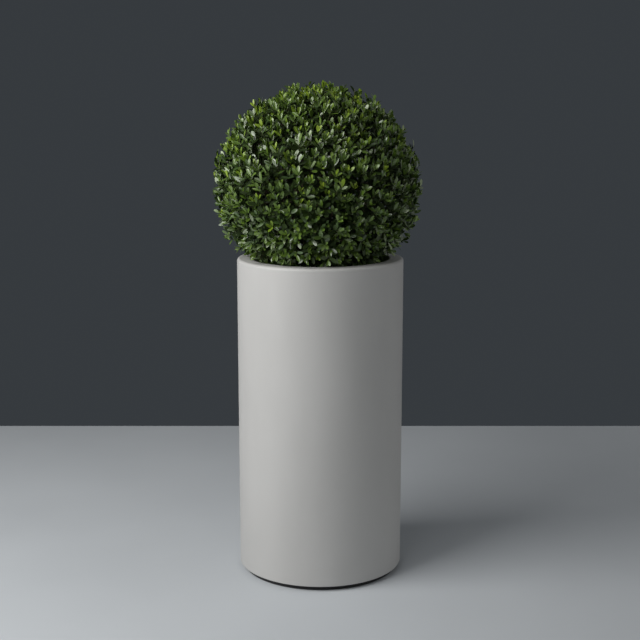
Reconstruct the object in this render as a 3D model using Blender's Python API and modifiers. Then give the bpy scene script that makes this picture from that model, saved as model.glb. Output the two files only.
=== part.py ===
"""A clipped box ball growing in a tall round planter, at its real size.

The frame is in metres with +Z up. The origin is the middle of the foot's underside, on the surface
that the planter stands on. The planter is turned about the Z axis. The ball stands a little to
the -X side of it, as a live plant does.
"""

import math
import random

import bmesh
import bpy
from mathutils import Matrix, Vector

# Clearance between pieces that touch
GAP = 0.0003

# Planter: a plain round tube with a floor, and a flat lip folded inwards, with rounded edges
PLANTER_RADIUS = 0.200
PLANTER_HEIGHT = 0.759
WALL = 0.016
FLOOR_THICKNESS = 0.020
LIP_WIDTH = 0.035
LIP_DEPTH = 0.030
LIP_OUTER_ROUND = 0.007
LIP_INNER_ROUND = 0.004
BASE_ROUND = 0.0015
TURNED_STEPS = 64
LIP_OUTER_POINTS = 5
LIP_INNER_POINTS = 3

# Foot: a set-back disc that lifts the planter off the ground
FOOT_RISE = 0.012
FOOT_INSET = 0.011

# Soil: it fills the planter and rises a little towards the trunk. It lies low enough for the
# ball's underside to hang clear of it
SOIL_BELOW_RIM = 0.095
SOIL_FALL = 0.006
SOIL_FLAT_RADIUS = 0.045
SOIL_SLOPE_STEPS = 4

# Trunk: a short stem with a flared, lobed foot. The flare fades to about a third over its height
TRUNK_FOOT_RADIUS = 0.026
TRUNK_NECK_RADIUS = 0.0155
TRUNK_TIP_RADIUS = 0.0130
TRUNK_FLARE_HEIGHT = 0.011
TRUNK_LOBES = 5
TRUNK_LOBE_SHARE = 0.16
TRUNK_SIDES = 20
TRUNK_RINGS = 8
TRUNK_BELOW_CORE = 0.004
TRUNK_RING_POWER = 1.4
TRUNK_SHARP_ANGLE = 50.0

# Ball: its middle, the reach of its furthest leaf tips, and the dense core that they stand out of
BALL_CENTRE = Vector((-0.0067, 0.0, 0.9405))
TIP_REACH = 0.2560
CORE_RADIUS = 0.218
CORE_DETAIL = 3
SEED = 7

# Boughs: they fork from the top of the stem, inside the core, and carry shoots from this share
# of their length outwards
STEM_SIDES = 12
FORK_BELOW_CENTRE = 0.085
FORK_RADIUS = 0.0105
BOUGHS = 9
BOUGH_REACH = 0.140
BOUGH_RADIUS = 0.0075
BOUGH_TIP_RADIUS = 0.0045
BOUGH_SIDES = 6
LOWEST_SHOOT = 0.55

# Shoots: three-sided twigs that leave the boughs and carry leaves in opposite pairs. The pairs
# sit at these distances from the ball's middle, and their leaves rise to between these
SHOOTS = 114
SHOOT_SIDES = 3
SHOOT_RADIUS = 0.0036
SHOOT_TIP_RADIUS = 0.0030
SHOOT_REACH = 0.2305
SHOOT_JITTER = 0.03
PAIR_ROOTS = (0.2215, 0.2290)
PAIR_TIPS = ((0.2360, 0.2440), (0.2480, 0.2555))
TRIM_STEP = 0.005
TRIM_TRIES = 4

# Leaves: flat behind, with a low ridge in front, and larger than life because they are fewer
LEAF_LENGTH = 0.050
LEAF_WIDTH = 0.030
LEAF_THICKNESS = 0.0026
LEAF_WIDEST = 0.46
LEAF_TIP_SHARE = 0.30
LEAF_ROOT_OFF_AXIS = 0.0003
LEAF_SIZES = (0.90, 1.10)

# Spaces that twigs and leaves keep out of
LIP_CLEARANCE = 0.004
SOIL_CLEARANCE = 0.008
TRUNK_CLEARANCE = 0.006

# Heights and widths that follow from the sizes above
RIM_Z = FOOT_RISE + PLANTER_HEIGHT
FLOOR_Z = FOOT_RISE + FLOOR_THICKNESS
BORE_RADIUS = PLANTER_RADIUS - WALL
MOUTH_RADIUS = PLANTER_RADIUS - LIP_WIDTH
SOIL_Z = RIM_Z - SOIL_BELOW_RIM
TRUNK_TIP_Z = BALL_CENTRE.z - CORE_RADIUS - TRUNK_BELOW_CORE
FORK = BALL_CENTRE - Vector((0.0, 0.0, FORK_BELOW_CENTRE))
GOLDEN_ANGLE = math.pi * (3.0 - math.sqrt(5.0))

# Colour, roughness and metallic value of each material
FINISHES = {
    "matt grey lacquer": ((0.42, 0.41, 0.39), 0.55, 0.0),
    "dark foot": ((0.03, 0.03, 0.03), 0.8, 0.0),
    "damp potting soil": ((0.035, 0.022, 0.014), 0.95, 0.0),
    "box bark": ((0.16, 0.12, 0.08), 0.85, 0.0),
    "box leaf green": ((0.045, 0.12, 0.02), 0.4, 0.0),
}


def clear_scene():
    """Removes every object that the file opened with."""
    for obj in list(bpy.data.objects):
        bpy.data.objects.remove(obj, do_unlink=True)


def new_collection(name):
    """Makes a collection in the scene and returns it."""
    collection = bpy.data.collections.new(name)
    bpy.context.scene.collection.children.link(collection)
    return collection


def material(name):
    """Makes the Principled material of one of the finishes."""
    colour, roughness, metallic = FINISHES[name]
    made = bpy.data.materials.new(name)
    made.use_nodes = True
    shader = made.node_tree.nodes["Principled BSDF"]
    shader.inputs["Base Color"].default_value = (*colour, 1.0)
    shader.inputs["Roughness"].default_value = roughness
    shader.inputs["Metallic"].default_value = metallic
    made.diffuse_color = (*colour, 1.0)
    return made


def mesh_object(name, shape, collection, finish=None):
    """Turns a bmesh into an object of the collection and frees the bmesh."""
    mesh = bpy.data.meshes.new(name)
    shape.to_mesh(mesh)
    shape.free()
    obj = bpy.data.objects.new(name, mesh)
    collection.objects.link(obj)
    if finish is not None:
        mesh.materials.append(material(finish))
    return obj


def round_corner(centre, radius, start, end, steps):
    """Points of an arc in the XZ plane, with its angles in degrees from +X towards +Z."""
    arc = []
    for i in range(steps + 1):
        angle = math.radians(start + (end - start) * i / steps)
        arc.append((centre[0] + radius * math.cos(angle), centre[1] + radius * math.sin(angle)))
    return arc


def turned(name, profile, collection, finish):
    """Turns an open profile, which starts and ends on the Z axis, into a closed solid."""
    shape = bmesh.new()
    verts = [shape.verts.new((x, 0.0, z)) for x, z in profile]
    for first, second in zip(verts, verts[1:]):
        shape.edges.new((first, second))
    obj = mesh_object(name, shape, collection, finish)
    screw = obj.modifiers.new("Turn", "SCREW")
    screw.steps = TURNED_STEPS
    screw.render_steps = TURNED_STEPS
    screw.use_merge_vertices = True
    screw.merge_threshold = 0.00001
    screw.use_smooth_shade = True
    return obj


def planter(collection):
    """The planter, from its inside floor up the bore, under and over the lip, and down outside."""
    under_lip = RIM_Z - LIP_DEPTH
    lip_outer = (PLANTER_RADIUS - LIP_OUTER_ROUND, RIM_Z - LIP_OUTER_ROUND)
    lip_inner = (MOUTH_RADIUS + LIP_INNER_ROUND, RIM_Z - LIP_INNER_ROUND)
    base = (PLANTER_RADIUS - BASE_ROUND, FOOT_RISE + BASE_ROUND)
    profile = [(0.0, FLOOR_Z), (BORE_RADIUS, FLOOR_Z)]
    profile += [(BORE_RADIUS, under_lip), (MOUTH_RADIUS, under_lip)]
    profile += round_corner(lip_inner, LIP_INNER_ROUND, 180, 90, LIP_INNER_POINTS)
    profile += round_corner(lip_outer, LIP_OUTER_ROUND, 90, 0, LIP_OUTER_POINTS)
    profile += round_corner(base, BASE_ROUND, 0, -90, 1)
    profile += [(0.0, FOOT_RISE)]
    return turned("planter", profile, collection, "matt grey lacquer")


def planter_foot(collection):
    """The set-back disc under the planter, flat on both sides."""
    radius = PLANTER_RADIUS - FOOT_INSET
    top = FOOT_RISE - GAP
    profile = [(0.0, top), (radius, top), (radius, 0.0), (0.0, 0.0)]
    return turned("planter_foot", profile, collection, "dark foot")


def soil(collection):
    """The soil, flat round the trunk and falling gently to the bore."""
    radius = BORE_RADIUS - GAP
    slope = []
    for i in range(SOIL_SLOPE_STEPS + 1):
        share = i / SOIL_SLOPE_STEPS
        fall = SOIL_FALL * (1.0 - math.cos(math.pi * share)) / 2.0
        slope.append((SOIL_FLAT_RADIUS + (radius - SOIL_FLAT_RADIUS) * share, SOIL_Z - fall))
    profile = [(0.0, SOIL_Z), *slope, (radius, FLOOR_Z + GAP), (0.0, FLOOR_Z + GAP)]
    return turned("soil", profile, collection, "damp potting soil")


def trunk_point(z):
    """The middle of the trunk at a height: it leans from the pot's middle to the ball's."""
    share = (z - SOIL_Z) / (TRUNK_TIP_Z - SOIL_Z)
    lean = share * share * (3.0 - 2.0 * share)
    return Vector((BALL_CENTRE.x * lean, BALL_CENTRE.y * lean, z))


def trunk_radius(z):
    """The trunk's mean radius at a height, with its root flare."""
    rise = z - SOIL_Z
    share = rise / (TRUNK_TIP_Z - SOIL_Z)
    stem = TRUNK_NECK_RADIUS + (TRUNK_TIP_RADIUS - TRUNK_NECK_RADIUS) * share
    flare = (TRUNK_FOOT_RADIUS - TRUNK_NECK_RADIUS) * math.exp(-rise / TRUNK_FLARE_HEIGHT)
    return stem + flare


def trunk(collection):
    """The trunk as a loft from its lobed foot, cut flat at the soil, to its round tip."""
    shape = bmesh.new()
    rings = []
    for i in range(TRUNK_RINGS + 1):
        z = SOIL_Z + GAP + (TRUNK_TIP_Z - SOIL_Z - GAP) * (i / TRUNK_RINGS) ** TRUNK_RING_POWER
        middle = trunk_point(z)
        lobes = TRUNK_LOBE_SHARE * (1.0 - i / TRUNK_RINGS) ** 2
        ring = []
        for k in range(TRUNK_SIDES):
            angle = 2.0 * math.pi * k / TRUNK_SIDES
            radius = trunk_radius(z) * (1.0 + lobes * math.cos(TRUNK_LOBES * angle))
            offset = Vector((radius * math.cos(angle), radius * math.sin(angle), 0.0))
            ring.append(shape.verts.new(middle + offset))
        rings.append(ring)
    for low, high in zip(rings, rings[1:]):
        for k in range(TRUNK_SIDES):
            after = (k + 1) % TRUNK_SIDES
            shape.faces.new((low[k], low[after], high[after], high[k]))
    shape.faces.new(list(reversed(rings[0])))
    shape.faces.new(rings[-1])
    obj = mesh_object("trunk", shape, collection, "box bark")
    obj.data.shade_smooth()
    obj.data.set_sharp_from_angle(angle=math.radians(TRUNK_SHARP_ANGLE))
    return obj


def limb(name, start, end, radii, sides, collection):
    """One tapering limb: a closed cone from start to end with the given end radii."""
    axis = end - start
    shape = bmesh.new()
    turn = axis.to_track_quat("Z", "Y").to_matrix().to_4x4()
    place = Matrix.Translation((start + end) / 2.0) @ turn
    bmesh.ops.create_cone(
        shape,
        cap_ends=True,
        segments=sides,
        radius1=radii[0],
        radius2=radii[1],
        depth=axis.length,
        matrix=place,
    )
    return mesh_object(name, shape, collection)


def leaf_frame(root, direction, upward):
    """The placing of a leaf: Z runs from root to tip, and its ridged face looks upward."""
    z_axis = direction.normalized()
    y_axis = upward.normalized()
    x_axis = y_axis.cross(z_axis)
    turn = Matrix((x_axis, y_axis, z_axis)).transposed().to_4x4()
    return Matrix.Translation(root) @ turn


def leaf_corners(size):
    """A leaf's five corners in order round its outline, then the top of its ridge."""
    length = LEAF_LENGTH * size
    half = LEAF_WIDTH * size / 2.0
    blunt = half * LEAF_TIP_SHARE
    belly = length * LEAF_WIDEST
    return [
        Vector((0.0, 0.0, LEAF_ROOT_OFF_AXIS)),
        Vector((-half, 0.0, belly)),
        Vector((-blunt, 0.0, length)),
        Vector((blunt, 0.0, length)),
        Vector((half, 0.0, belly)),
        Vector((0.0, LEAF_THICKNESS, belly)),
    ]


def leaf(name, place, size, collection):
    """A closed leaf of eight triangles: a low five-sided cone drawn out to the leaf's corners."""
    shape = bmesh.new()
    bmesh.ops.create_cone(shape, cap_ends=True, segments=5, radius1=1.0, radius2=0.0, depth=1.0)
    ring = [vert for vert in shape.verts if vert.co.z < 0.0]
    ring.sort(key=lambda vert: math.atan2(vert.co.y, vert.co.x))
    ridge = [vert for vert in shape.verts if vert.co.z > 0.0]
    for vert, corner in zip(ring + ridge, leaf_corners(size)):
        vert.co = place @ corner
    return mesh_object(name, shape, collection)


def even_direction(index, count):
    """One of a count of directions spread evenly over a ball on a golden-angle spiral."""
    z = 1.0 - 2.0 * (index + 0.5) / count
    ring = math.sqrt(1.0 - z * z)
    angle = index * GOLDEN_ANGLE
    return Vector((ring * math.cos(angle), ring * math.sin(angle), z))


def in_the_clear(point):
    """True where a twig or leaf stays in the ball's own space and off its neighbours."""
    if (point - BALL_CENTRE).length > TIP_REACH:
        return False
    if point.z < SOIL_Z + SOIL_CLEARANCE:
        return False
    if point.z < RIM_Z + LIP_CLEARANCE and point.xy.length > MOUTH_RADIUS - LIP_CLEARANCE:
        return False
    if point.z < TRUNK_TIP_Z + TRUNK_CLEARANCE:
        to_trunk = (point.xy - trunk_point(min(point.z, TRUNK_TIP_Z)).xy).length
        return to_trunk > trunk_radius(min(point.z, TRUNK_TIP_Z)) + TRUNK_CLEARANCE
    return True


def bough_tips():
    """Where the boughs end, spread evenly round the fork."""
    return [BALL_CENTRE + even_direction(i, BOUGHS) * BOUGH_REACH for i in range(BOUGHS)]


def shoot_start(tip, boughs):
    """The place on the nearest bough that a shoot to this tip grows from."""
    nearest = min(boughs, key=lambda end: (end - tip).length)
    in_line = (nearest - BALL_CENTRE).normalized().dot((tip - BALL_CENTRE).normalized())
    return FORK.lerp(nearest, LOWEST_SHOOT + (1.0 - LOWEST_SHOOT) * max(0.0, in_line))


def grow(pieces):
    """Fills the collection with the stem, boughs, shoots and leaves of the ball."""
    chance = random.Random(SEED)
    foot = trunk_point(TRUNK_TIP_Z) + Vector((0.0, 0.0, GAP))
    limb("stem", foot, FORK, (TRUNK_TIP_RADIUS, FORK_RADIUS), STEM_SIDES, pieces)
    boughs = bough_tips()
    for end in boughs:
        limb("bough", FORK, end, (BOUGH_RADIUS, BOUGH_TIP_RADIUS), BOUGH_SIDES, pieces)
    for i in range(SHOOTS):
        jitter = Vector([chance.uniform(-SHOOT_JITTER, SHOOT_JITTER) for _ in range(3)])
        tip = BALL_CENTRE + (even_direction(i, SHOOTS) + jitter).normalized() * SHOOT_REACH
        if in_the_clear(tip):
            start = shoot_start(tip, boughs)
            limb("shoot", start, tip, (SHOOT_RADIUS, SHOOT_TIP_RADIUS), SHOOT_SIDES, pieces)
            set_leaves(start, tip, chance, pieces)


def set_leaves(start, tip, chance, pieces):
    """Sets leaves on a shoot in opposite pairs, each pair at right angles to the last."""
    outward = (tip - BALL_CENTRE).normalized()
    side = outward.orthogonal().normalized()
    turn = chance.uniform(0.0, math.pi)
    for pair, (root_reach, tip_reaches) in enumerate(zip(PAIR_ROOTS, PAIR_TIPS)):
        root = crossing(start, tip, root_reach)
        for half in range(2):
            away = Matrix.Rotation(turn + math.pi * half + math.pi / 2.0 * pair, 3, outward) @ side
            size = chance.uniform(*LEAF_SIZES)
            trimmed_leaf(root, outward, away, size, chance.uniform(*tip_reaches), pieces)


def crossing(start, tip, reach):
    """Where the line of a shoot crosses the ball of this reach."""
    axis = (tip - start).normalized()
    offset = start - BALL_CENTRE
    along_axis = offset.dot(axis)
    return start + axis * (math.sqrt(along_axis**2 - offset.length_squared + reach**2) - along_axis)


def trimmed_leaf(root, outward, away, size, tip_reach, pieces):
    """Adds one leaf whose tip lies at its reach, or lower until it clears its neighbours."""
    length = LEAF_LENGTH * size
    root_reach = (root - BALL_CENTRE).length
    for step in range(TRIM_TRIES):
        reach = tip_reach - step * TRIM_STEP
        rise = (reach**2 - root_reach**2 - length**2) / (2.0 * root_reach * length)
        spread = math.acos(rise)
        direction = outward * math.cos(spread) + away * math.sin(spread)
        upward = outward * math.sin(spread) - away * math.cos(spread)
        place = leaf_frame(root, direction, upward)
        if all(in_the_clear(place @ corner) for corner in leaf_corners(size)):
            leaf("leaf", place, size, pieces)
            return


def signed_volume(faces):
    """The volume inside a closed set of faces, negative for a hollow."""
    volume = 0.0
    for face in faces:
        corners = [loop.vert.co for loop in face.loops]
        for second, third in zip(corners[1:], corners[2:]):
            volume += corners[0].dot(second.cross(third)) / 6.0
    return volume


def bodies_of(shape):
    """The faces of a bmesh in groups that hang together."""
    left = set(shape.faces)
    groups = []
    while left:
        group = {left.pop()}
        edge_of_group = list(group)
        while edge_of_group:
            face = edge_of_group.pop()
            for edge in face.edges:
                for other in edge.link_faces:
                    if other in left:
                        left.remove(other)
                        group.add(other)
                        edge_of_group.append(other)
        groups.append(group)
    return groups


def keep_one_body(obj):
    """Fills the sealed hollows of a fused mesh and drops its loose scraps."""
    shape = bmesh.new()
    shape.from_mesh(obj.data)
    groups = sorted(bodies_of(shape), key=signed_volume)
    spare = [face for group in groups[:-1] for face in group]
    bmesh.ops.delete(shape, geom=spare, context="FACES")
    shape.to_mesh(obj.data)
    shape.free()


def foliage_ball(collection):
    """The whole clipped mass: a core, with the shoots and leaves fused on by one union."""
    pieces = new_collection("foliage pieces")
    grow(pieces)
    shape = bmesh.new()
    bmesh.ops.create_icosphere(
        shape,
        subdivisions=CORE_DETAIL,
        radius=CORE_RADIUS,
        matrix=Matrix.Translation(BALL_CENTRE),
    )
    ball = mesh_object("foliage_ball", shape, collection, "box leaf green")
    union = ball.modifiers.new("Fuse", "BOOLEAN")
    union.operation = "UNION"
    union.solver = "MANIFOLD"
    union.operand_type = "COLLECTION"
    union.collection = pieces
    with bpy.context.temp_override(object=ball):
        bpy.ops.object.modifier_apply(modifier=union.name)
    for piece in list(pieces.objects):
        bpy.data.objects.remove(piece, do_unlink=True)
    bpy.data.collections.remove(pieces)
    keep_one_body(ball)
    return ball


def main():
    """Builds the whole object from the ground up."""
    clear_scene()
    parts = new_collection("potted topiary ball")
    planter_foot(parts)
    planter(parts)
    soil(parts)
    trunk(parts)
    foliage_ball(parts)


main()
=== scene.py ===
"""The looks of a clipped box ball in a tall round planter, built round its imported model.

The frame is in metres with +Z up, and the origin is the middle of the foot's underside. The
planter, its foot, the soil and the trunk are made afresh at the size of their solids. The ball
grows on from the trunk by the rule of the solids, which is carried to fine twigs that bear leaves
at their real size.
"""

import logging
import math
from dataclasses import dataclass, field
from enum import Enum

import bpy
import numpy as np
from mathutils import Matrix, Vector, noise


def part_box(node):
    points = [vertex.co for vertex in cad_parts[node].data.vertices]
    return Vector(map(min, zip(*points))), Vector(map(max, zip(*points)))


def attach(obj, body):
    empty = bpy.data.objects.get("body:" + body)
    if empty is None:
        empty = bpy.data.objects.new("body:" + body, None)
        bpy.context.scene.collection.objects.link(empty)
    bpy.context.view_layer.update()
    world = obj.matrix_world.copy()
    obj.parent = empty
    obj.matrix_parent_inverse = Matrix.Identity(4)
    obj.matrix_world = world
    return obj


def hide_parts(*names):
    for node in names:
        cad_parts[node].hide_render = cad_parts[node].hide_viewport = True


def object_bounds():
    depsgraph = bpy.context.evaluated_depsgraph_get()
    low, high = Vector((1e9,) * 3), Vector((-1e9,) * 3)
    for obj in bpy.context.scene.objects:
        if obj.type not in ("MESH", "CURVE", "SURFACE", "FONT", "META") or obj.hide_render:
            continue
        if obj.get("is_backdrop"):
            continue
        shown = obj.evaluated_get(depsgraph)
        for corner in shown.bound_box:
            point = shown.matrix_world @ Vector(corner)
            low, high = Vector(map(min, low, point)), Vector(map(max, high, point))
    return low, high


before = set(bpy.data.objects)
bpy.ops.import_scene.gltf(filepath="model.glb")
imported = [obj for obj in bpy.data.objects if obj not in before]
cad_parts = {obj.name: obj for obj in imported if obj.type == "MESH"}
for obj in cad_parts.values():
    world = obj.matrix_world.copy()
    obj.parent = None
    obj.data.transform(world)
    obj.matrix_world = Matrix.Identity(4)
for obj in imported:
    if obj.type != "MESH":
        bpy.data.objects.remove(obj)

LOG = logging.getLogger("potted_topiary_ball")
BODY = "root"
UP = np.array([0.0, 0.0, 1.0])

# Gap between neighbouring solids, and the width of the planter's lip.
GAP = 0.0003
LIP_WIDTH = 0.035

# Values between which a cloudy pattern mostly lies.
CLOUD_SPAN = (0.3, 0.7)

# Ridges and plates round a limb, how far they turn along it, and the ridges' share of the relief.
LIMB_RIDGES = 5.0
RIDGE_TURN = 9.0
LIMB_PLATES = 11.0
PLATE_TURN = 2.3
RIDGE_SHARE = 0.6

# A slant that keeps a twig's side direction from vanishing where it points straight out.
SIDE_SLANT = np.array([0.31, 0.17, 0.05])

# Share of a twig's length over which its direction is measured.
STEP_AHEAD = 0.02


class Slot(Enum):
    """The material slots of the record."""

    PLANTER = "planter"
    FOOT = "planter_foot"
    SOIL = "soil"
    TRUNK = "trunk"
    FOLIAGE = "foliage"


class Node(Enum):
    """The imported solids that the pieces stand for."""

    PLANTER = "planter"
    FOOT = "planter_foot"
    SOIL = "soil"
    TRUNK = "trunk"
    FOLIAGE = "foliage_ball"


@dataclass(frozen=True)
class Site:
    """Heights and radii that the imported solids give.

    Attributes:
        outer: Radius of the planter's outside.
        mouth: Radius of the opening inside its lip.
        bore: Radius of the planter's inside, below the lip.
        base: Height of the planter's underside.
        rim: Height of the planter's lip.
        floor: Height of the planter's inside floor.
        soil: Height of the soil round the trunk.
        foot: Radius of the foot.
        foot_top: Height of the foot's upper side.
        trunk_top: Height at which the trunk's solid ends.
        low: Lowest corner of the whole part.
        high: Highest corner of the whole part.
    """

    outer: float
    mouth: float
    bore: float
    base: float
    rim: float
    floor: float
    soil: float
    foot: float
    foot_top: float
    trunk_top: float
    low: np.ndarray
    high: np.ndarray

    @classmethod
    def from_frame(cls, low: Vector, high: Vector) -> "Site":
        """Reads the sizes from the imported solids.

        Args:
            low: Lowest corner of the whole part.
            high: Highest corner of the whole part.

        Returns:
            The sizes that the pieces are made to.
        """
        planter_low, planter_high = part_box(Node.PLANTER.value)
        soil_low, soil_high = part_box(Node.SOIL.value)
        foot_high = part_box(Node.FOOT.value)[1]
        return cls(
            outer=planter_high.x,
            mouth=planter_high.x - LIP_WIDTH,
            bore=soil_high.x + GAP,
            base=planter_low.z,
            rim=planter_high.z,
            floor=soil_low.z - GAP,
            soil=soil_high.z,
            foot=foot_high.x,
            foot_top=foot_high.z,
            trunk_top=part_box(Node.TRUNK.value)[1].z,
            low=np.array(low),
            high=np.array(high),
        )


@dataclass
class Shape:
    """The points and faces of a mesh, held as arrays.

    Attributes:
        points: Rows of x, y and z.
        faces: Arrays of corner indices, each with one number of corners to a row.
    """

    points: np.ndarray
    faces: list[np.ndarray]

    @classmethod
    def joined(cls, shapes: list["Shape"]) -> "Shape":
        """Joins several shapes into one.

        Args:
            shapes: The shapes to join.

        Returns:
            One shape that holds them all.
        """
        faces = []
        start = 0
        for shape in shapes:
            faces += [group + start for group in shape.faces]
            start += len(shape.points)
        return cls(np.concatenate([shape.points for shape in shapes]), faces)

    def mesh(self, name: str) -> bpy.types.Mesh:
        """Makes a smooth-shaded mesh of the shape.

        Args:
            name: The mesh's name.

        Returns:
            The new mesh.
        """
        corners = np.concatenate([group.ravel() for group in self.faces]).astype(np.int32)
        sizes = np.concatenate([np.full(len(group), group.shape[1]) for group in self.faces])
        starts = np.concatenate([[0], np.cumsum(sizes)[:-1]]).astype(np.int32)
        made = bpy.data.meshes.new(name)
        made.vertices.add(len(self.points))
        made.vertices.foreach_set("co", self.points.astype(np.float32).ravel())
        made.loops.add(len(corners))
        made.loops.foreach_set("vertex_index", corners)
        made.polygons.add(len(sizes))
        made.polygons.foreach_set("loop_start", starts)
        made.update(calc_edges=True)
        made.shade_smooth()
        return made


def unit(vectors: np.ndarray) -> np.ndarray:
    """Scales vectors to length one.

    Args:
        vectors: Vectors along the last axis.

    Returns:
        The same directions at length one.
    """
    return vectors / np.maximum(np.linalg.norm(vectors, axis=-1, keepdims=True), 1e-12)


def eased(share: float | np.ndarray) -> float | np.ndarray:
    """Eases a share between 0 and 1, so that it leaves and arrives without a slope."""
    return share * share * (3.0 - 2.0 * share)


def even_directions(count: int) -> np.ndarray:
    """Spreads directions evenly over a ball on a golden-angle spiral.

    Args:
        count: How many directions to make.

    Returns:
        Rows of unit vectors.
    """
    index = np.arange(count)
    z = 1.0 - 2.0 * (index + 0.5) / count
    ring = np.sqrt(1.0 - z * z)
    angle = index * math.pi * (3.0 - math.sqrt(5.0))
    return np.column_stack((ring * np.cos(angle), ring * np.sin(angle), z))


def arc(centre: tuple[float, float], radius: float, start: float, end: float, steps: int) -> list:
    """Makes the points of an arc of a profile.

    Args:
        centre: Distance from the axis and height of the arc's middle.
        radius: The arc's radius.
        start: First angle in degrees, from outward towards up.
        end: Last angle in degrees.
        steps: Number of straight pieces.

    Returns:
        Points as distance from the axis and height.
    """
    angles = np.radians(np.linspace(start, end, steps + 1))
    return [(centre[0] + radius * math.cos(a), centre[1] + radius * math.sin(a)) for a in angles]


def straight(start: tuple[float, float], end: tuple[float, float], inner: float) -> list:
    """Makes the points between the ends of a straight stretch, which keep its shading flat.

    Args:
        start: Distance from the axis and height where the stretch begins.
        end: The same where it ends.
        inner: How far from each end its first and last points lie.

    Returns:
        The points in between, without the ends.
    """
    first = np.array(start)
    last = np.array(end)
    length = float(np.linalg.norm(last - first))
    shares = [inner / length, 0.25, 0.5, 0.75, 1.0 - inner / length]
    return [tuple(first + (last - first) * share) for share in shares]


def turned(profile: list, sides: int) -> Shape:
    """Turns a profile about the Z axis. A profile that starts or ends on the axis is closed there.

    Args:
        profile: Points as distance from the axis and height, the outer side from top to bottom.
        sides: Number of faces round the axis.

    Returns:
        The turned shape.
    """
    rings = [point for point in profile if point[0] > 0.0]
    angles = 2.0 * math.pi * np.arange(sides) / sides
    points = [
        np.column_stack((r * np.cos(angles), r * np.sin(angles), np.full(sides, z)))
        for r, z in rings
    ]
    here = np.arange(sides)
    after = (here + 1) % sides
    faces = []
    for row in range(len(rings) - 1):
        top = row * sides
        low = top + sides
        faces.append(np.column_stack((top + here, low + here, low + after, top + after)))
    quads = [np.concatenate(faces)]
    fans = []
    count = len(rings) * sides
    if profile[0][0] == 0.0:
        points.append(np.array([[0.0, 0.0, profile[0][1]]]))
        fans.append(np.column_stack((np.full(sides, count), here, after)))
        count += 1
    if profile[-1][0] == 0.0:
        last = (len(rings) - 1) * sides
        points.append(np.array([[0.0, 0.0, profile[-1][1]]]))
        fans.append(np.column_stack((np.full(sides, count), last + after, last + here)))
    return Shape(np.concatenate(points), quads + ([np.concatenate(fans)] if fans else []))


def bent(start: np.ndarray, middle: np.ndarray, end: np.ndarray, shares: np.ndarray) -> np.ndarray:
    """Finds points along curves that leave their start towards a middle point.

    Args:
        start: Rows of first points.
        middle: Rows of points that the curves bend towards.
        end: Rows of last points.
        shares: How far along each curve the points lie, the same for all or a row for each.

    Returns:
        Points with one row for each curve and one column for each share.
    """
    along = np.broadcast_to(shares, (len(start), np.shape(shares)[-1]))[..., None]
    back = 1.0 - along
    return (
        start[:, None] * back**2 + 2.0 * middle[:, None] * back * along + end[:, None] * along**2
    )


def tubes(paths: np.ndarray, radii: np.ndarray, sides: int, relief: float) -> Shape:
    """Makes closed round limbs along paths.

    Args:
        paths: Points with one row for each limb.
        radii: The limb's radius at each of them.
        sides: Number of faces round a limb.
        relief: Share of the radius by which bark ridges rise and fall.

    Returns:
        All the limbs as one shape.
    """
    count, rings = paths.shape[:2]
    along = unit(np.gradient(paths, axis=1))
    overall = unit(paths[:, -1] - paths[:, 0])
    helper = np.eye(3)[np.argmin(np.abs(overall), axis=1)]
    side = unit(np.cross(along, helper[:, None]))
    across = np.cross(along, side)
    angles = 2.0 * math.pi * np.arange(sides) / sides
    ring = (
        side[:, :, None] * np.cos(angles)[:, None] + across[:, :, None] * np.sin(angles)[:, None]
    )
    width = radii[:, :, None, None] * np.ones((1, 1, sides, 1))
    if relief:
        ridges = np.sin(LIMB_RIDGES * angles + RIDGE_TURN * np.arange(rings)[:, None] / rings)
        plates = np.sin(LIMB_PLATES * angles + PLATE_TURN * np.arange(rings)[:, None])
        mixed = RIDGE_SHARE * ridges + (1.0 - RIDGE_SHARE) * plates
        width = width * (1.0 + relief * mixed)[None, :, :, None]
    points = (paths[:, :, None] + ring * width).reshape(-1, 3)
    limb = (np.arange(count) * rings * sides)[:, None, None]
    row = (np.arange(rings - 1) * sides)[None, :, None]
    here = np.arange(sides)[None, None, :]
    after = (here + 1) % sides
    low = limb + row
    quads = np.stack((low + here, low + after, low + sides + after, low + sides + here), axis=-1)
    spokes = np.arange(1, sides - 1)
    first = limb[:, :, 0]
    last = first + (rings - 1) * sides
    start_caps = np.stack((first + 0 * spokes, first + spokes + 1, first + spokes), axis=-1)
    end_caps = np.stack((last + 0 * spokes, last + spokes, last + spokes + 1), axis=-1)
    caps = np.concatenate((start_caps.reshape(-1, 3), end_caps.reshape(-1, 3)))
    return Shape(points, [quads.reshape(-1, 4), caps])


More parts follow.
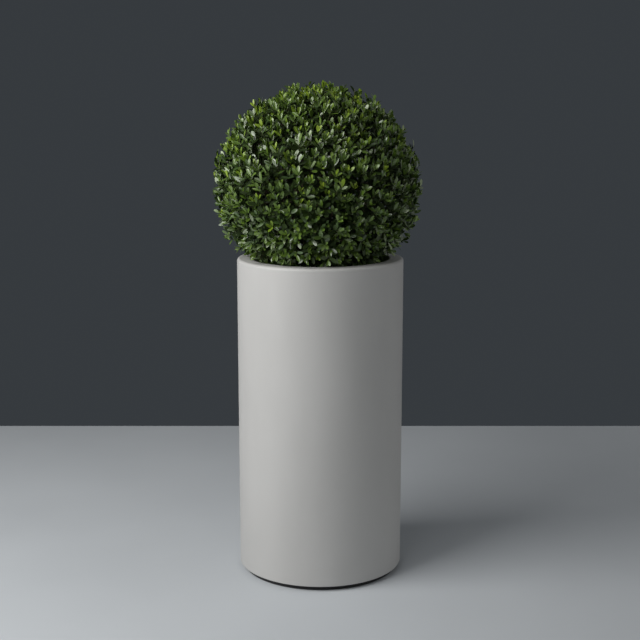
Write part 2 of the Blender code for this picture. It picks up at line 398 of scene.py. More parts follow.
class NodeSheet:
    """A material's node tree, with short methods that add its nodes."""

    def __init__(self, name: str) -> None:
        """Makes an empty material.

        Args:
            name: The material's name.
        """
        self.material = bpy.data.materials.new(name)
        self.material.use_nodes = True
        self.tree = self.material.node_tree
        self.shader = self.tree.nodes["Principled BSDF"]

    def add(self, kind: str) -> bpy.types.Node:
        """Adds a node of a kind and returns it."""
        return self.tree.nodes.new(kind)

    def link(self, source: bpy.types.NodeSocket, target: bpy.types.NodeSocket) -> None:
        """Joins two sockets."""
        self.tree.links.new(source, target)

    def place(self, stretch: tuple[float, float, float] = (1.0, 1.0, 1.0)) -> bpy.types.NodeSocket:
        """Gives the place on the piece, in metres.

        Args:
            stretch: Factors for the three axes; a small one draws a pattern out along its axis.

        Returns:
            The socket with the place.
        """
        coordinates = self.add("ShaderNodeTexCoord")
        mapping = self.add("ShaderNodeMapping")
        mapping.inputs["Scale"].default_value = stretch
        self.link(coordinates.outputs["Object"], mapping.inputs["Vector"])
        return mapping.outputs["Vector"]

    def noise(self, place: bpy.types.NodeSocket, scale: float, detail: float) -> bpy.types.NodeSocket:
        """Adds a cloudy pattern.

        Args:
            place: The place on the piece.
            scale: Number of blotches to a metre.
            detail: Number of finer layers.

        Returns:
            The socket with the pattern's value.
        """
        texture = self.add("ShaderNodeTexNoise")
        texture.inputs["Scale"].default_value = scale
        texture.inputs["Detail"].default_value = detail
        self.link(place, texture.inputs["Vector"])
        return texture.outputs["Fac"]

    def cells(self, place: bpy.types.NodeSocket, scale: float) -> bpy.types.NodeSocket:
        """Adds a pattern of cells, such as crumbs or bark plates.

        Args:
            place: The place on the piece.
            scale: Number of cells to a metre.

        Returns:
            The socket with the distance to each cell's middle.
        """
        texture = self.add("ShaderNodeTexVoronoi")
        texture.inputs["Scale"].default_value = scale
        self.link(place, texture.inputs["Vector"])
        return texture.outputs["Distance"]

    def colours(self, value: bpy.types.NodeSocket, ends: tuple, dark: tuple, pale: tuple) -> None:
        """Colours the surface by a value.

        Args:
            value: The value that chooses the colour.
            ends: The values at which the two colours are reached.
            dark: Colour at the lower one.
            pale: Colour at the upper one.
        """
        ramp = self.add("ShaderNodeValToRGB")
        for stop, position, colour in zip(ramp.color_ramp.elements, ends, (dark, pale)):
            stop.position = position
            stop.color = (*colour, 1.0)
        self.link(value, ramp.inputs["Fac"])
        self.link(ramp.outputs["Color"], self.shader.inputs["Base Color"])

    def roughness(self, value: bpy.types.NodeSocket, low: float, high: float) -> None:
        """Spreads the roughness between two values.

        Args:
            value: The value that chooses the roughness.
            low: Roughness where it is small.
            high: Roughness where it is large.
        """
        spread = self.add("ShaderNodeMapRange")
        spread.inputs["From Min"].default_value = CLOUD_SPAN[0]
        spread.inputs["From Max"].default_value = CLOUD_SPAN[1]
        spread.inputs["To Min"].default_value = low
        spread.inputs["To Max"].default_value = high
        self.link(value, spread.inputs["Value"])
        self.link(spread.outputs["Result"], self.shader.inputs["Roughness"])

    def bump(self, heights: list[tuple[bpy.types.NodeSocket, float]]) -> None:
        """Raises the surface by one pattern after another.

        Args:
            heights: Pairs of a pattern and its height in metres.
        """
        normal = None
        for value, height in heights:
            relief = self.add("ShaderNodeBump")
            relief.inputs["Distance"].default_value = height
            self.link(value, relief.inputs["Height"])
            if normal is not None:
                self.link(normal, relief.inputs["Normal"])
            normal = relief.outputs["Normal"]
        self.link(normal, self.shader.inputs["Normal"])


@dataclass(frozen=True)
class CloudyFinish:
    """A finish whose colour and roughness follow soft blotches, with a finer relief over them.

    Attributes:
        name: The material's name.
        dark: Colour of the darker blotches.
        pale: Colour of the paler ones.
        rough: Least and greatest roughness.
        blotches: Number of blotches to a metre.
        layers: Number of finer layers in them.
        ends: Pattern values at which the two colours are reached.
        stretch: Factors for the blotches and cells along the three axes.
        height: Height of the blotches.
        cells: Number of cells to a metre, such as crumbs or plates of bark.
        cell_height: Height of the cells.
        grains: Number of grains to a metre.
        grain_layers: Number of finer layers in the grain.
        grain_height: Height of the grains.
    """

    name: str
    dark: tuple
    pale: tuple
    rough: tuple
    blotches: float
    layers: float
    ends: tuple = CLOUD_SPAN
    stretch: tuple = (1.0, 1.0, 1.0)
    height: float = 0.0
    cells: float = 0.0
    cell_height: float = 0.0
    grains: float = 0.0
    grain_layers: float = 2.0
    grain_height: float = 0.0

    def material(self) -> bpy.types.Material:
        """Makes the material and returns it."""
        sheet = NodeSheet(self.name)
        place = sheet.place(self.stretch)
        cloud = sheet.noise(place, self.blotches, self.layers)
        sheet.colours(cloud, self.ends, self.dark, self.pale)
        sheet.roughness(cloud, *self.rough)
        relief = []
        if self.grains:
            grain = sheet.noise(sheet.place(), self.grains, self.grain_layers)
            relief.append((grain, self.grain_height))
        if self.cells:
            relief.append((sheet.cells(place, self.cells), self.cell_height))
        if self.height:
            relief.append((cloud, self.height))
        if relief:
            sheet.bump(relief)
        return sheet.material


# Factors that draw a pattern out along Z.
ALONG_Z = (1.0, 1.0, 0.35)

# The planter's lacquer, faintly uneven in colour and gloss, with a very fine grain.
MATT_LACQUER = CloudyFinish(
    name="matt_grey_lacquer",
    dark=(0.485, 0.480, 0.466),
    pale=(0.515, 0.510, 0.496),
    rough=(0.46, 0.56),
    blotches=9.0,
    layers=3.0,
    stretch=ALONG_Z,
    height=0.0003,
    grains=1400.0,
    grain_height=0.00004,
)
DARK_FOOT = CloudyFinish(
    name="dark_foot",
    dark=(0.012, 0.012, 0.013),
    pale=(0.026, 0.026, 0.027),
    rough=(0.65, 0.85),
    blotches=700.0,
    layers=4.0,
    height=0.0001,
)
PALE_FLOOR = CloudyFinish(
    name="pale_floor",
    dark=(0.570, 0.600, 0.625),
    pale=(0.590, 0.621, 0.646),
    rough=(0.62, 0.72),
    blotches=3.0,
    layers=4.0,
)


def earth_finish(name: str, damp: tuple, dry: tuple, crumbs: float) -> CloudyFinish:
    """Gives the finish of crumbed compost, or of the litter on it, with blotches six crumbs wide.

    Args:
        name: The material's name.
        damp: Colour of the dampest crumbs.
        dry: Colour of the driest.
        crumbs: Number of crumbs to a metre.

    Returns:
        The finish.
    """
    return CloudyFinish(
        name, damp, dry, rough=(0.8, 0.98), blotches=crumbs / 6.0, layers=5.0, ends=(0.35, 0.65),
        height=0.0006, cells=crumbs, cell_height=0.0008,
    )


def bark_finish(name: str, furrow: tuple, ridge: tuple, plates: float) -> CloudyFinish:
    """Gives the finish of box bark, finely furrowed, with blotches two plates wide.

    Args:
        name: The material's name.
        furrow: Colour in the furrows.
        ridge: Colour on the ridges.
        plates: Number of plates to a metre.

    Returns:
        The finish.
    """
    return CloudyFinish(
        name, furrow, ridge, rough=(0.7, 0.95), blotches=plates / 2.0, layers=5.0,
        ends=(0.35, 0.65), stretch=ALONG_Z, height=0.0004, cells=plates, cell_height=0.0006,
    )


COMPOST = earth_finish("damp_compost", (0.014, 0.009, 0.006), (0.048, 0.031, 0.020), 420.0)
LOOSE_CRUMBS = earth_finish("loose_crumbs", (0.018, 0.011, 0.007), (0.060, 0.040, 0.026), 500.0)
BARK_CHIPS = earth_finish("bark_chips", (0.045, 0.026, 0.014), (0.130, 0.080, 0.045), 260.0)
TRUNK_BARK = bark_finish("trunk_bark", (0.060, 0.045, 0.032), (0.205, 0.165, 0.120), 300.0)
BOUGH_BARK = bark_finish("bough_bark", (0.050, 0.036, 0.024), (0.165, 0.125, 0.085), 420.0)
TWIG_BARK = bark_finish("twig_bark", (0.045, 0.050, 0.018), (0.120, 0.125, 0.045), 900.0)


@dataclass(frozen=True)
class LeafFinish:
    """One plain leaf colour. Its values are constant, since colours are dealt out by spray.

    Attributes:
        colour: Base colour.
        roughness: Roughness of the waxy upper side.
        gloss: Strength of its shine.
        index: Refractive index, set above that of wax to match the strength of the highlights.
    """

    colour: tuple
    roughness: float
    gloss: float = 1.0
    index: float = 1.56

    def material(self, name: str) -> bpy.types.Material:
        """Makes the material.

        Args:
            name: The material's name.

        Returns:
            The new material.
        """
        sheet = NodeSheet(name)
        sheet.shader.inputs["Base Color"].default_value = (*self.colour, 1.0)
        sheet.shader.inputs["Roughness"].default_value = self.roughness
        sheet.shader.inputs["Specular IOR Level"].default_value = self.gloss
        sheet.shader.inputs["IOR"].default_value = self.index
        return sheet.material


class LeafTone(Enum):
    """The leaf colours, from the oldest leaves to the newest tips. The first, SHADED, is painted shade:
    partly the darker colour of old inner leaves, mostly the shade deep in the ball.
    """

    # Painted shade: a near-black colour with hardly any shine, for the leaves that lie deep in the
    # ball.
    SHADED = LeafFinish((0.015, 0.028, 0.005), 0.60, 0.10)
    DEEP = LeafFinish((0.041, 0.076, 0.009), 0.42, 0.45)
    BLUISH = LeafFinish((0.060, 0.113, 0.024), 0.38)
    FOREST = LeafFinish((0.077, 0.141, 0.012), 0.38)
    BOX = LeafFinish((0.102, 0.180, 0.015), 0.38)
    SAGE = LeafFinish((0.123, 0.203, 0.033), 0.38)
    MEADOW = LeafFinish((0.141, 0.234, 0.017), 0.39)
    YOUNG = LeafFinish((0.178, 0.278, 0.017), 0.43, 0.6)
    FRESH = LeafFinish((0.211, 0.315, 0.021), 0.45, 0.6)
    LIME = LeafFinish((0.249, 0.350, 0.025), 0.45, 0.6)


ALL_TONES = list(LeafTone)
MATURE_TONES = ALL_TONES[: ALL_TONES.index(LeafTone.YOUNG)]


@dataclass
class SubAssembly:
    """A part of the object that makes its own pieces.

    Attributes:
        site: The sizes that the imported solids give.
    """

    site: Site

    def add(self, name: str, mesh: bpy.types.Mesh, slot: Slot, node: Node) -> None:
        """Puts a piece in the scene, on its body and in place of its solid.

        Args:
            name: The piece's name.
            mesh: Its mesh, with its material.
            slot: The piece's material slot; not used.
            node: The solid that it stands for.
        """
        piece = bpy.data.objects.new(name, mesh)
        bpy.context.scene.collection.objects.link(piece)
        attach(piece, BODY)
        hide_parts(node.value)
        LOG.info("%s: %d points, %d faces", name, len(mesh.vertices), len(mesh.polygons))


@dataclass
class Planter(SubAssembly):
    """The tall round planter, with its flat lip folded inwards and its rounded edges.

    Attributes:
        lip_depth: Height of the folded lip.
        lip_outer: Round on the lip's outer edge.
        lip_inner: Round on its inner edge.
        base_round: Round on the lower edge.
        round_steps: Numbers of flats on the inner, outer and lower rounds.
        sides: Number of faces round the axis.
        support: How far from a round the wall's first ring lies.
        sharp_deg: Angle in degrees over which an edge is sharp.
    """

    lip_depth: float = 0.030
    lip_outer: float = 0.007
    lip_inner: float = 0.004
    base_round: float = 0.0015
    round_steps: tuple = (8, 12, 4)
    sides: int = 256
    support: float = 0.0015
    sharp_deg: float = 50.0

    def build(self) -> None:
        """Makes the planter's piece."""
        site = self.site
        under_lip = site.rim - self.lip_depth
        outer = (site.outer - self.lip_outer, site.rim - self.lip_outer)
        inner = (site.mouth + self.lip_inner, site.rim - self.lip_inner)
        base = (site.outer - self.base_round, site.base + self.base_round)
        mouth = arc(inner, self.lip_inner, 180, 90, self.round_steps[0])
        lip = arc(outer, self.lip_outer, 90, 0, self.round_steps[1])
        foot = arc(base, self.base_round, 0, -90, self.round_steps[2])
        profile = [(0.0, site.floor), (site.bore, site.floor)]
        for corner in ((site.bore, under_lip), (site.mouth, under_lip), mouth[0]):
            profile += straight(profile[-1], corner, self.support) + [corner]
        profile += mouth[1:]
        profile += straight(mouth[-1], lip[0], self.support) + lip
        profile += straight(lip[-1], foot[0], self.support) + foot
        profile += [(0.0, site.base)]
        mesh = turned(profile, self.sides).mesh("planter_shell")
        mesh.set_sharp_from_angle(angle=math.radians(self.sharp_deg))
        mesh.materials.append(MATT_LACQUER.material())
        self.add("planter_shell", mesh, Slot.PLANTER, Node.PLANTER)


@dataclass
class PlanterFoot(SubAssembly):
    """The set-back foot that lifts the planter off the ground.

    Attributes:
        edge: Round on its edges.
        edge_steps: Number of flats on that round.
        sides: Number of faces round the axis.
        support: How far from a round the flat's first ring lies.
    """

    edge: float = 0.0012
    edge_steps: int = 4
    sides: int = 192
    support: float = 0.0015

    def build(self) -> None:
        """Makes the foot's piece."""
        flat = self.site.foot - self.edge
        top = self.site.foot_top
        upper = arc((flat, top - self.edge), self.edge, 90, 0, self.edge_steps)
        lower = arc((flat, self.edge), self.edge, 0, -90, self.edge_steps)
        profile = [(0.0, top), (flat - self.support, top), *upper, *lower]
        profile += [(flat - self.support, 0.0), (0.0, 0.0)]
        mesh = turned(profile, self.sides).mesh("planter_foot_disc")
        mesh.materials.append(DARK_FOOT.material())
        self.add("planter_foot_disc", mesh, Slot.FOOT, Node.FOOT)


@dataclass(frozen=True)
class Litter:
    """One kind of loose lumps that lie on the soil.

    Attributes:
        name: The piece's name.
        count: Number of lumps.
        sizes: Least and greatest radius.
        stretch: Factors for a lump's three axes.
        finish: The lumps' finish.
    """

    name: str
    count: int
    sizes: tuple
    stretch: tuple
    finish: CloudyFinish


@dataclass
class Soil(SubAssembly):
    """The compost, with its crumbled top and the chips and crumbs that lie on it.

    Attributes:
        fall: How far the top falls from the trunk to the planter's wall.
        flat: Radius of the level middle.
        rings: Number of rings on the top.
        sides: Number of faces round the axis.
        relief: Height of the crumbled top's lumps.
        relief_mix: Shares of it that are even, in small lumps and in broad ones.
        small_scale: Fineness of the small lumps.
        broad_scale: Fineness of the broad ones.
        litter: The crumbs and chips.
        corners: Number of corners of a crumb or chip.
        corner_spread: Least and greatest factor on a corner's distance from its middle.
        seat: How far above the soil that middle lies, as a share of its radius.
        trunk_clear: Radius round the axis that stays free of them.
        seed: Seed of their places.
    """

    fall: float = 0.006
    flat: float = 0.045
    rings: int = 46
    sides: int = 180
    relief: float = 0.0022
    relief_mix: tuple = (0.5, 0.3, 0.2)
    small_scale: float = 420.0
    broad_scale: float = 110.0
    litter: tuple = (
        Litter("soil_crumbs", 1500, (0.0010, 0.0024), (1.0, 1.0, 0.8), LOOSE_CRUMBS),
        Litter("soil_chips", 420, (0.0028, 0.0055), (1.0, 0.55, 0.22), BARK_CHIPS),
    )
    corners: int = 14
    corner_spread: tuple = (0.75, 1.15)
    seat: float = 0.1
    trunk_clear: float = 0.0315
    seed: int = 21

    def surface(self, radius: np.ndarray) -> np.ndarray:
        """Gives the height of the smooth top.

        Args:
            radius: Distances from the axis.

        Returns:
            The heights there.
        """
        share = np.clip((radius - self.flat) / (self.site.bore - self.flat), 0.0, 1.0)
        return self.site.soil - self.fall * (1.0 - np.cos(math.pi * share)) / 2.0

    def build(self) -> None:
        """Makes the pieces of the soil."""
        self.build_bed()
        chance = np.random.default_rng(self.seed)
        for litter in self.litter:
            self.scatter(litter, chance)

    def build_bed(self) -> None:
        """Makes the body of the soil, with its crumbled top."""
        radius = self.site.bore - GAP
        steps = np.linspace(radius / self.rings, radius, self.rings)
        profile = [(0.0, self.site.soil)]
        profile += list(zip(steps, self.surface(steps)))
        low = self.site.floor + GAP
        profile += [(radius, low), (0.0, low)]
        shape = turned(profile, self.sides)
        even, in_small, in_broad = self.relief_mix
        for index in range((self.rings - 1) * self.sides):
            here = Vector(shape.points[index])
            small = noise.noise(here * self.small_scale)
            broad = noise.noise(here * self.broad_scale)
            shape.points[index, 2] -= self.relief * (even + in_small * small + in_broad * broad)
        mesh = shape.mesh("soil_bed")
        mesh.materials.append(COMPOST.material())
        self.add("soil_bed", mesh, Slot.SOIL, Node.SOIL)

    def scatter(self, litter: Litter, chance: np.random.Generator) -> None:
        """Scatters one kind of litter over the top of the soil.

        Args:
            litter: The kind of litter.
            chance: The random numbers.
        """
        ball = even_directions(self.corners)
        hull = lump_faces(ball)
        count = litter.count
        size = chance.uniform(*litter.sizes, count)[:, None, None]
        bumps = chance.uniform(*self.corner_spread, (count, len(ball), 1))
        lumps = ball[None] * bumps * np.array(litter.stretch) * size
        turn = chance.uniform(0.0, 2.0 * math.pi, count)
        cos, sin = np.cos(turn)[:, None], np.sin(turn)[:, None]
        x = lumps[..., 0] * cos - lumps[..., 1] * sin
        y = lumps[..., 0] * sin + lumps[..., 1] * cos
        edge = self.site.bore - 2.0 * litter.sizes[1]
        radius = np.sqrt(chance.uniform(self.trunk_clear**2, edge**2, count))
        angle = chance.uniform(0.0, 2.0 * math.pi, count)
        z = lumps[..., 2] + self.surface(radius)[:, None] + self.seat * size[:, :, 0]
        x = x + (radius * np.cos(angle))[:, None]
        y = y + (radius * np.sin(angle))[:, None]
        points = np.stack((x, y, z), axis=-1).reshape(-1, 3)
        faces = hull[None] + (np.arange(count) * len(ball))[:, None, None]
        mesh = Shape(points, [faces.reshape(-1, 3)]).mesh(litter.name)
        mesh.materials.append(litter.finish.material())
        self.add(litter.name, mesh, Slot.SOIL, Node.SOIL)


def lump_faces(points: np.ndarray) -> np.ndarray:
    """Finds the faces of the hull round a few points of a ball.

    Args:
        points: Rows of points on a ball about the origin.

    Returns:
        Rows of three corners, each facing out.
    """
    faces = []
    slack = 1e-9
    count = len(points)
    for a in range(count):
        for b in range(a + 1, count):
            for c in range(b + 1, count):
                normal = np.cross(points[b] - points[a], points[c] - points[a])
                side = (points - points[a]) @ normal
                if np.all(side <= slack):
                    faces.append((a, b, c))
                elif np.all(side >= -slack):
                    faces.append((a, c, b))
    return np.array(faces)


@dataclass
class BallSpace:
    """The space that the ball's twigs and leaves keep to.

    Attributes:
        site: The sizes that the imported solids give.
        centre: Middle of the ball.
        reach: Distance from the middle to the furthest tips.
        wall: Clearance to the planter.
        earth: Clearance to the soil.
        bark: Clearance over the trunk's top.
        trunk_room: Radius round the axis that is kept free beside the trunk.
        inside: How far inside the part's box everything stays.
    """

    site: Site
    centre: np.ndarray = field(default_factory=lambda: np.array([-0.0067, 0.0, 0.9405]))
    reach: float = 0.2560
    wall: float = 0.0015
    earth: float = 0.008
    bark: float = 0.006
    trunk_room: float = 0.0245
    inside: float = 0.0002

    def clear(self, points: np.ndarray) -> np.ndarray:
        """Tells which points lie in the ball's own space.

        Args:
            points: Points along the last axis.

        Returns:
            True for each point that is in the clear.
        """
        site = self.site
        z = points[..., 2]
        from_axis = np.linalg.norm(points[..., :2], axis=-1)
        good = np.linalg.norm(points - self.centre, axis=-1) <= self.reach
        good &= z >= site.soil + self.earth
        good &= (z >= site.rim + self.wall) | (from_axis <= site.mouth - self.wall)
        good &= (z >= site.trunk_top + self.bark) | (from_axis >= self.trunk_room)
        good &= np.all(points >= site.low + self.inside, axis=-1)
        good &= np.all(points <= site.high - self.inside, axis=-1)
        return good


@dataclass
class Trunk(SubAssembly):
    """The short trunk and the stem that it goes on as, up to the fork inside the ball.

    Attributes:
        space: The ball's space.
        foot_radius: Radius of the root flare.
        neck_radius: Radius above the flare.
        tip_radius: Radius where the solid ends.
        fork_radius: Radius at the fork.
        flare: Height over which the flare fades to about a third.
        lobes: Number of root lobes.
        lobe_share: How far they stand out.
        fork_below: Distance from the ball's middle down to the fork.
        sides: Number of faces round the trunk.
        rings: Number of rings up each length.
        ring_power: Power that draws these closer together at its foot.
        bark_round: Fineness of the bark's pattern round the trunk.
        bark_up: Fineness of it up the trunk.
        furrow_scale: Factor on both for the furrows.
        furrow_depth: Depth of the furrows as a share of the radius.
        plate_scale: Factor on both for the plates.
        plate_depth: Depth of the plates as a share of the radius.
        sharp_deg: Angle in degrees over which an edge is sharp.
    """

    space: BallSpace
    foot_radius: float = 0.026
    neck_radius: float = 0.0155
    tip_radius: float = 0.0130
    fork_radius: float = 0.0105
    flare: float = 0.011
    lobes: int = 5
    lobe_share: float = 0.16
    fork_below: float = 0.085
    sides: int = 96
    rings: int = 60
    ring_power: float = 1.25
    bark_round: float = 3.2
    bark_up: float = 60.0
    furrow_scale: float = 1.6
    furrow_depth: float = 0.10
    plate_scale: float = 1.0116
    plate_depth: float = 0.02
    sharp_deg: float = 60.0

    def fork(self) -> np.ndarray:
        """Returns the place where the boughs part."""
        return self.space.centre - UP * self.fork_below

    def middle(self, z: float) -> np.ndarray:
        """Gives the middle of the trunk at a height.

        Args:
            z: The height.

        Returns:
            The point: it leans from the planter's middle to the ball's.
        """
        share = min(1.0, (z - self.site.soil) / (self.site.trunk_top - self.site.soil))
        lean = eased(share)
        return np.array([self.space.centre[0] * lean, self.space.centre[1] * lean, z])

    def radius(self, z: float) -> float:
        """Gives the trunk's mean radius at a height.

        Args:
            z: The height.

        Returns:
            The radius, with the root flare.
        """
        rise = z - self.site.soil
        height = self.site.trunk_top - self.site.soil
        if z <= self.site.trunk_top:
            stem = self.neck_radius + (self.tip_radius - self.neck_radius) * rise / height
        else:
            share = (z - self.site.trunk_top) / (self.fork()[2] - self.site.trunk_top)
            stem = self.tip_radius + (self.fork_radius - self.tip_radius) * share
        return stem + (self.foot_radius - self.neck_radius) * math.exp(-rise / self.flare)

    def build(self) -> None:
        """Makes the trunk's piece, and the stem's, which goes on from it to the fork."""
        bark = TRUNK_BARK.material()
        top = self.site.trunk_top
        self.build_length("trunk_bark", self.site.soil + GAP, top, Node.TRUNK, bark)
        self.build_length("stem_bark", top + GAP, self.fork()[2], Node.FOLIAGE, bark)

    def build_length(
        self, name: str, low: float, high: float, node: Node, bark: bpy.types.Material
    ) -> None:
        """Makes one length of the trunk, with its bark's ridges and plates.

        Args:
            name: The piece's name.
            low: Height of its foot.
            high: Height of its top.
            node: The solid that it stands for.
            bark: Its material.
        """
        site = self.site
        angles = 2.0 * math.pi * np.arange(self.sides) / self.sides
        rows = []
        for z in low + (high - low) * np.linspace(0.0, 1.0, self.rings + 1) ** self.ring_power:
            fade = max(0.0, 1.0 - (z - site.soil) / (site.trunk_top - site.soil)) ** 2
            ridges = np.array([self.bark(angle, z) for angle in angles])
            lobes = self.lobe_share * fade * np.cos(self.lobes * angles)
            radius = self.radius(z) * (1.0 + lobes - ridges)
            ring = np.column_stack((radius * np.cos(angles), radius * np.sin(angles), 0.0 * angles))
            rows.append(self.middle(z) + ring)
        here = np.arange(self.sides)
        after = (here + 1) % self.sides
        ring_quads = np.column_stack((here, after, self.sides + after, self.sides + here))
        quads = [ring_quads + start for start in range(0, self.rings * self.sides, self.sides)]
        caps = [here[::-1][None], (self.rings * self.sides + here)[None]]
        mesh = Shape(np.concatenate(rows), [np.concatenate(quads), *caps]).mesh(name)
        mesh.set_sharp_from_angle(angle=math.radians(self.sharp_deg))
        mesh.materials.append(bark)
        self.add(name, mesh, Slot.TRUNK, node)

    def bark(self, angle: float, z: float) -> float:
        """Gives the depth of the bark's furrows.

        Args:
            angle: Angle round the trunk.
            z: The height.

        Returns:
            The depth as a share of the radius.
        """
        around = self.bark_round
        here = Vector((math.cos(angle) * around, math.sin(angle) * around, z * self.bark_up))
        furrows = 1.0 - abs(noise.noise(here * self.furrow_scale))
        plates = noise.noise(here * self.plate_scale)
        return self.furrow_depth * furrows**3 + self.plate_depth * (1.0 + plates)


# Places along a leaf's midrib, and its half widths at the ones between root and tip, as shares.
LEAF_ROWS = (0.0, 0.17, 0.40, 0.64, 0.87, 1.0)
LEAF_HALVES = (0.50, 0.90, 1.0, 0.68)


def leaf_outline() -> np.ndarray:
    """Gives a leaf's points: the midrib from root to tip, then its left and right edges."""
    midrib = [(0.0, row) for row in LEAF_ROWS]
    left = [(-half, row) for half, row in zip(LEAF_HALVES, LEAF_ROWS[1:-1])]
    right = [(half, row) for half, row in zip(LEAF_HALVES, LEAF_ROWS[1:-1])]
    return np.array(midrib + left + right)


def leaf_faces() -> np.ndarray:
    """Gives a leaf's triangles, which face the way of its upper side."""
    rows = len(LEAF_ROWS)
    inner = rows - 2
    faces = []
    for side in range(2):
        edge = [rows + side * inner + i for i in range(inner)]
        made = [(0, edge[0], 1), (rows - 2, edge[-1], rows - 1)]
        for i in range(inner - 1):
            made += [(i + 1, edge[i], edge[i + 1]), (i + 1, edge[i + 1], i + 2)]
        faces += made if side == 0 else [(a, c, b) for a, b, c in made]
    return np.array(faces)


LEAF_OUTLINE = leaf_outline()
LEAF_FACES = leaf_faces()


@dataclass(frozen=True)
class LimbLevel:
    """One level of limbs, from the boughs to the twigs.

    Attributes:
        count: Number of limbs.
        reach: Distance from the ball's middle to their ends, or to the tips of a twig's leaves.
        radii: Radii of a limb where it starts and ends.
        steps: Number of points along a limb.
        sides: Number of faces round it.
        relief: Share of the radius by which bark ridges rise and fall.
        parent_shares: The stretch of a parent limb that they leave from.
        stray: How far their directions stray from an even spread.
    """

    count: int
    reach: float
    radii: tuple
    steps: int
    sides: int
    relief: float = 0.0
    parent_shares: tuple = (0.35, 1.0)
    stray: float = 0.0


